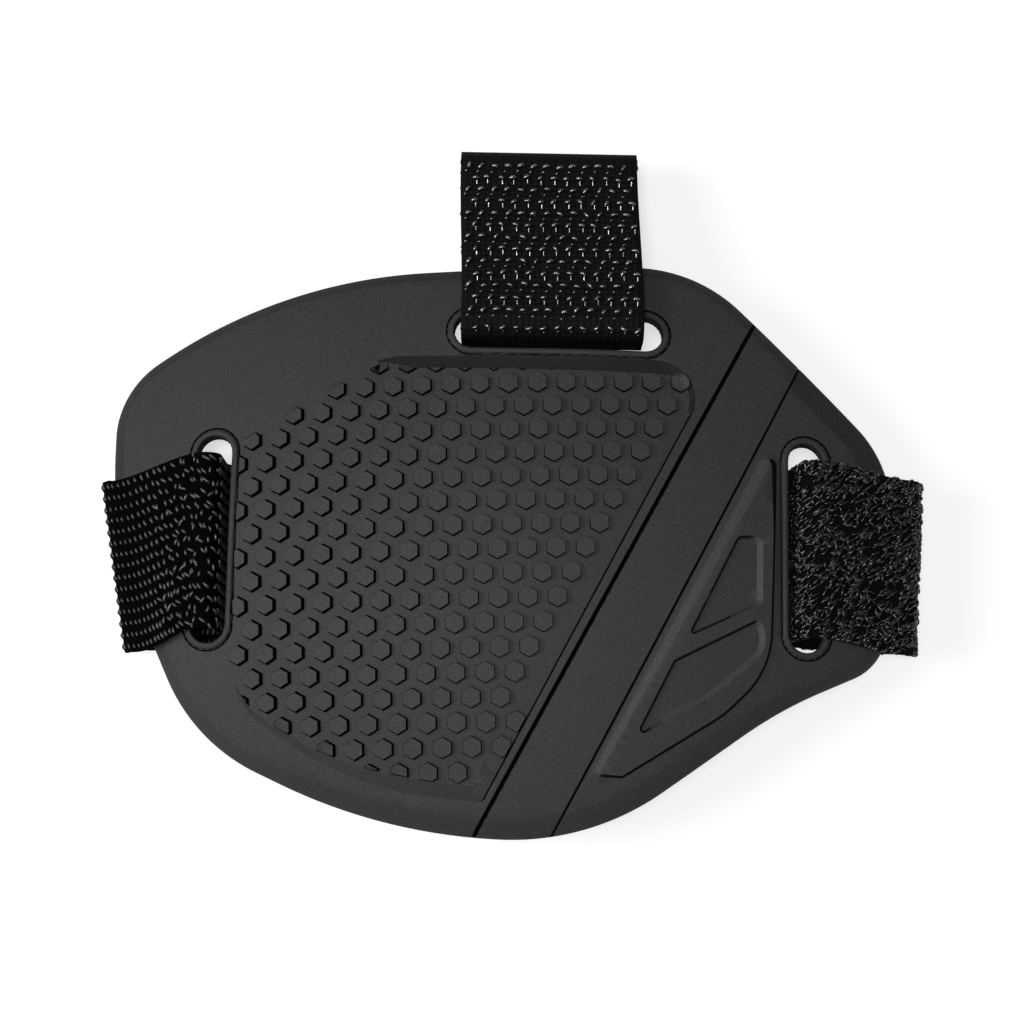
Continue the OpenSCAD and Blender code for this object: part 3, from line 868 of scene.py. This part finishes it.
# Near-black rubber for the stud walls and grooves: painted shade.
RUBBER_SHADED = material("rubber_painted_shade", (0.0014, 0.0014, 0.0015), 0.9, 0.03, bump=(2600, 0.2, 0.0001))
ELASTIC_BASE = material("elastic_ground", (0.0012, 0.0012, 0.0013), 0.9, 0.03, bump=(6000, 0.5, 0.0001))
ELASTIC = material("elastic_yarn", (0.045, 0.045, 0.0455), 0.38, 0.9, bump=(6000, 0.4, 0.0001))
ELASTIC_HATCH = material("elastic_hatch", (0.01, 0.01, 0.0105), 0.5, 0.4, bump=(6000, 0.4, 0.0001))
PILE_BASE = weave_material("pile_ground", (0.0015, 0.0015, 0.0016), 0.9, 12)
PILE = material("pile_yarn", (0.0035, 0.0035, 0.0037), 0.24, 0.8, ior=1.55)
TAPE = weave_material("tape_ground", (0.003, 0.003, 0.0032), 0.7, 9)
HOOK = material("hook_nylon", (0.012, 0.012, 0.012), 0.26, 1.0, coat=1.0, ior=2.0)
THREAD = material("sewing_thread", (0.012, 0.012, 0.0125), 0.5, 0.5, bump=(5000, 0.5, 0.0001))

# ---------------------------------------------------------------- pieces
pad = build_pad(RUBBER, RUBBER_SHADED)
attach(pad, "shield")
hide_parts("pad")

# Heights of the pile strap's middle: at the join, across the sole, and in the free end.
JOIN_Z = ELASTIC_T + LAP + PILE_T / 2
BAND_Z = PILE_T + PATCH_T + CLEAR + PILE_T / 2
TAB_Z = PILE_T / 2
elastic_line = Line([(-23, ELASTIC_T * 1.5 + LAP, 1, -0.6, 1), (LEFT, ELASTIC_T * 1.5 + LAP, 2.4, -0.6, 1),
                     (LEFT, 15.58, 2, -0.4, 1), (FOLD_IN, 8.39, 2.6, -4.9, 10.5),
                     (FOLD_IN, ELASTIC_T / 2, 2.6, -3.8, 9.5), (-30, ELASTIC_T / 2, 1, -0.9, 1.5),
                     (6, ELASTIC_T / 2, 1, 0, 0)])
bend = elastic_line.s[np.argmax(elastic_line.pts[:, 1])]
fold = elastic_line.s[np.argmin(elastic_line.pts[:, 0])]
elastic = build_elastic(elastic_line, [ELASTIC_BASE, ELASTIC, ELASTIC_HATCH], bend, fold)
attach(elastic, "shield")
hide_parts("sole_elastic")

pile_line = Line([(-8, JOIN_Z, 1, 0, 0), (7, JOIN_Z, 6, 0, 0), (13, BAND_Z, 6, 0, 0),
                  (RIGHT, BAND_Z, 3.2, -0.3, 0), (RIGHT, 18.49, 2.4, -0.4, -1),
                  (FOLD_OUT, 11.33, 3, -2.7, -3), (FOLD_OUT, TAB_Z, 3, -1.7, -2.6),
                  (HINGE_X, TAB_Z, 1, -1.5, -2.4), (45, TAB_Z, 1, -0.4, -0.5), (TAB_END, TAB_Z, 1, 0, 0)])
low_part = np.where((pile_line.pts[:, 1] < TAB_Z + 0.01) & (pile_line.pts[:, 0] < 71.6))[0][0]
FOLD_S = pile_line.s[low_part]


def pile_piece(name, s0, s1, density, seed):
    """A stretch of the pile strap: its ground and the loops that stand on its outer face."""
    half, ground = STRAP_W / 2, PILE_T / 2 - 0.85
    v, f, uv = sheet_mesh(pile_line, s0, s1, half, const(-PILE_T / 2 + 0.25), const(ground), ACROSS, ALONG)
    loops = pile_loops(pile_line, s0, s1, half, ground, 1, density, seed, 0.8)
    v, f, uv, m = join([(v, f, uv, 0), (*loops, None, 1)])
    return mesh_object(name, v, f, [PILE_BASE, PILE], m, uv)


margin = np.where((abs(pile_line.pts[:, 0] - RIGHT) < 0.1) & (pile_line.pts[:, 1] > 13))[0][0]
MARGIN_S = pile_line.s[margin]
band = pile_piece("pile_band", 0, MARGIN_S, 0.6, 21)
front = pile_piece("pile_margin", MARGIN_S, FOLD_S, 1.6, 22)
for piece in (band, front):
    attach(piece, "shield")
    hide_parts("sole_pile_strap")
tab = pile_piece("pile_tab", FOLD_S, pile_line.length, 0.7, 23)
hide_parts("sole_tab")
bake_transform(tab)

# Top strap: runs along Y, so its line is turned.
REACH = TOP_REACH - TOP_T
HINGE_Y, TAB_RISE = REACH - 3.3, 0.098


def tab_at(y):
    """Height of the top strap's free end, which rises towards the slot."""
    return 3.75 + (HINGE_Y - y) * TAB_RISE


top_line = Line([(49, tab_at(49) + 3.0, 1, -7, 0), (TOP_Y, tab_at(TOP_Y) + 3.0, 2.6, -7, 0),
                 (TOP_Y, 21.41, 2.6, -7, 0),
                 (REACH, 11.1, 2.5, -6, 0), (REACH, 3.4, 2.5, -6.5, 0),
                 (HINGE_Y, tab_at(HINGE_Y), 1, -6.5, 0),
                 (55.75, tab_at(55.75), 1, -7.3, 0), (40, tab_at(40), 1, -7.8, 0)], along_y=True)
top_low = np.where((top_line.pts[:, 1] < 4.5) & (top_line.pts[:, 0] < 72.3) & (top_line.pts[:, 0] > 60))[0][0]
TOP_S = top_line.s[top_low]
TOP_HALF = (STRAP_W + 1.2) / 2


def top_piece(name, s0, s1, seed):
    """A stretch of the top strap: hook tape outwards, and loop tape behind it."""
    hook = sheet_mesh(top_line, s0, s1, TOP_HALF, const(LAP / 2), const(TOP_T - 0.7), ACROSS, ALONG)
    inner = sheet_mesh(top_line, s0, s1, TOP_HALF, const(-TOP_T + 0.2), const(-LAP / 2), ACROSS, ALONG)
    hooks = hook_rows(top_line, s0, s1, TOP_HALF - 0.25, TOP_T - 0.85, 1, seed)
    loops = pile_loops(top_line, s0, s1, TOP_HALF, TOP_T - 0.25, -1, 0.5, seed + 1, 0.4)
    v, f, uv, m = join([(*hook, 0), (*hooks, None, 1), (*inner, 0), (*loops, None, 2)])
    return mesh_object(name, v, f, [TAPE, HOOK, PILE], m, uv)


top_loop = top_piece("top_loop", 0, TOP_S, 31)
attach(top_loop, "top_strap")
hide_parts("top_hook_tape", "top_inner_tape")
top_tab = top_piece("top_tab", TOP_S, top_line.length, 41)
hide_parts("top_tab_hook", "top_tab_inner")
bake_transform(top_tab)


# ---------------------------------------------------------------- stitches and patch
def zigzag(centre, length, width, step, lift):
    n = int(length / step)
    pts = []
    for i in range(n + 1):
        for f in (0, 0.5):
            if i == n and f:
                break
            t = i + f
            x = width * (abs((t % 2) - 1) - 0.5)
            pts.append((centre[0] + x, centre[1] + (t - n / 2) * step, centre[2] + lift))
    return thread_path(pts)


bartack_path = zigzag((-25.3, -0.6, ELASTIC_T * 2 + LAP), STRAP_W - 3, 1.6, STITCH, 0.2)
bartack = mesh_object("bartack_thread", *bartack_path, [THREAD])
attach(bartack, "shield")
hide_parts("elastic_bartack")


def join_stitches():
    """Two zigzags across the lapped straps and a straight seam along each edge."""
    top = ELASTIC_T + LAP + PILE_T
    rows = (-4.4, 4.1)
    parts = [(*zigzag((x, 0, top), STRAP_W - 3, 1.4, STITCH, 0.2), None, 0) for x in rows]
    for side in (-1, 1):
        edge = side * (STRAP_W / 2 - 2)
        seam = [(x, edge, top + 0.12 + 0.12 * math.sin(x * 4)) for x in np.linspace(*rows, 40)]
        parts.append((*thread_path(seam), None, 0))
    v, f, _, m = join(parts)
    return mesh_object("join_thread", v, f, [THREAD], m)


stitches = join_stitches()
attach(stitches, "shield")
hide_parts("strap_join_stitches")

PATCH_IN, PATCH_SIDE, EDGING = 1.5, 1.2, 0.4
patch_lo = np.array([TAB_END + PATCH_IN, -(STRAP_W - 2 * PATCH_SIDE) / 2])
patch_hi = patch_lo + (PATCH_L, STRAP_W - 2 * PATCH_SIDE)


def hook_patch():
    """The hook tape on the free end, on the face that meets the strap."""
    middle, half = (patch_lo[1] + patch_hi[1]) / 2, (patch_hi[1] - patch_lo[1]) / 2
    flat = Line([(x, PILE_T + 0.2, 1, middle, 0) for x in (patch_lo[0], patch_hi[0])])
    base = sheet_mesh(flat, 0, flat.length, half, const(-0.2), const(0.3), 16, 1.0)
    hooks, faces = hook_rows(flat, 0, flat.length, half, 0.25, 1, 51)
    hooks[:, 2] = np.minimum(hooks[:, 2], PILE_T + PATCH_T - 0.02)
    v, f, uv, m = join([(*base, 0), (hooks, faces, None, 1)])
    return mesh_object("hook_patch", v, f, [TAPE, HOOK], m, uv)


patch = hook_patch()
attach(patch, "sole_tab")
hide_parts("tab_hook_patch")


def patch_seam():
    """The thread that runs round the patch, dipping at every second stitch."""
    lo, hi = patch_lo - EDGING, patch_hi + EDGING
    box = np.array([lo, (hi[0], lo[1]), hi, (lo[0], hi[1])])
    pts = [(p[0], p[1], PILE_T + 0.18 + 0.15 * math.cos(i * math.pi / 2))
           for i, p in enumerate(even(box, 0.5))]
    return mesh_object("patch_thread", *thread_path(pts + [pts[0]]), [THREAD])


edging = patch_seam()
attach(edging, "sole_tab")
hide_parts("patch_stitches")


def end_zigzag():
    """The zigzag across the top strap's free end, on its inner face."""
    s_end = top_line.length - 1.9
    n = int((STRAP_W - 3) / STITCH)
    t = np.arange(0, n + 0.5, 0.5)
    along, across = s_end + 1.4 * (abs((t % 2) - 1) - 0.5), (t - n / 2) * STITCH
    path = top_line.at(along, across, np.full(len(t), -TOP_T - 0.05))
    return mesh_object("top_tab_thread", *thread_path(path), [THREAD])


end_thread = end_zigzag()
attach(end_thread, "top_tab")
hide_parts("top_tab_stitches")

# ---------------------------------------------------------------- stage, light and camera
scene = bpy.context.scene
scene.view_settings.view_transform = "Standard"


# The camera sees the floor as a mix of its own lit colour and this glow, so that shadows stay soft.
FLOOR_GLOW, GLOW_SHARE = 1.4, 0.46


def floor_material():
    """White floor whose glow only the camera sees."""
    m = material("floor_white", (0.86, 0.86, 0.86), 0.9, 0.1)
    nt = m.node_tree
    shader, out = nt.nodes["Principled BSDF"], nt.nodes["Material Output"]
    glow, path, mix, share = (nt.nodes.new(n) for n in (
        "ShaderNodeEmission", "ShaderNodeLightPath", "ShaderNodeMixShader", "ShaderNodeMath"))
    glow.inputs["Color"].default_value = (1, 1, 1, 1)
    glow.inputs["Strength"].default_value = FLOOR_GLOW
    share.operation = "MULTIPLY"
    share.inputs[1].default_value = GLOW_SHARE
    nt.links.new(path.outputs["Is Camera Ray"], share.inputs[0])
    nt.links.new(share.outputs[0], mix.inputs["Fac"])
    nt.links.new(shader.outputs[0], mix.inputs[1])
    nt.links.new(glow.outputs[0], mix.inputs[2])
    nt.links.new(mix.outputs[0], out.inputs["Surface"])
    return m


def stage_floor():
    mesh = bpy.data.meshes.new("floor")
    r = 3.0
    mesh.from_pydata([(-r, -r, 0), (r, -r, 0), (r, r, 0), (-r, r, 0)], [], [(0, 1, 2, 3)])
    obj = bpy.data.objects.new("floor", mesh)
    scene.collection.objects.link(obj)
    obj.location.z = -0.0002
    obj.data.materials.append(floor_material())


stage_floor()


def area(name, place, target, size, power):
    light = bpy.data.lights.new(name, "AREA")
    light.shape, light.size, light.energy = "DISK", size, power
    obj = bpy.data.objects.new(name, light)
    obj.location = place
    obj.rotation_euler = (Vector(target) - Vector(place)).to_track_quat("-Z", "Y").to_euler()
    scene.collection.objects.link(obj)


area("key", (-0.74, -0.03, 0.62), (0, 0, 0), 0.42, 4.8)
area("top", (-0.12, -0.12, 1.1), (0, 0, 0), 0.28, 5.6)


def studio_world():
    """Dim light all round, and plain white to the camera."""
    world = bpy.data.worlds.new("studio")
    world.use_nodes = True
    nt = world.node_tree
    nt.nodes.clear()
    out, path, mix = (nt.nodes.new(n) for n in (
        "ShaderNodeOutputWorld", "ShaderNodeLightPath", "ShaderNodeMixShader"))
    for place, strength in ((1, 0.16), (2, 1.0)):
        sky = nt.nodes.new("ShaderNodeBackground")
        sky.inputs["Color"].default_value = (1, 1, 1, 1)
        sky.inputs["Strength"].default_value = strength
        nt.links.new(sky.outputs[0], mix.inputs[place])
    nt.links.new(path.outputs["Is Camera Ray"], mix.inputs["Fac"])
    nt.links.new(mix.outputs[0], out.inputs["Surface"])
    return world


scene.world = studio_world()

# Camera: found by a fit of the stud rows, then by the outline. Angles in degrees, distances in metres.
ELEVATION, ROLL, DISTANCE = 80.7, 1.1, 0.327
FOCAL_PX, PICTURE_PX, SENSOR = 1849.0, 1024, 36
AIM_X, AIM_Y = 0.0003, 0.0043


def photo_camera():
    """A camera aimed at a point of the dome, turned a little about its own axis."""
    rise = math.sqrt(DOME_R ** 2 - (AIM_X / MM - CROWN_X) ** 2 - (AIM_Y / MM) ** 2)
    aim = Vector((AIM_X, AIM_Y, MM * (CROWN_Z - DOME_R + rise)))
    e, r = math.radians(ELEVATION), math.radians(ROLL)
    back, right = Vector((0, -math.cos(e), math.sin(e))), Vector((1, 0, 0))
    up = back.cross(right)
    turn = Matrix((right * math.cos(r) + up * math.sin(r), up * math.cos(r) - right * math.sin(r), back))
    turn = turn.transposed().to_4x4()
    turn.translation = aim + back * DISTANCE
    cam = bpy.data.cameras.new("camera")
    cam.sensor_width = SENSOR
    cam.lens = FOCAL_PX / PICTURE_PX * SENSOR
    cam.clip_start = 0.01
    camera = bpy.data.objects.new("camera", cam)
    camera.matrix_world = turn
    scene.collection.objects.link(camera)
    return camera


scene.camera = photo_camera()
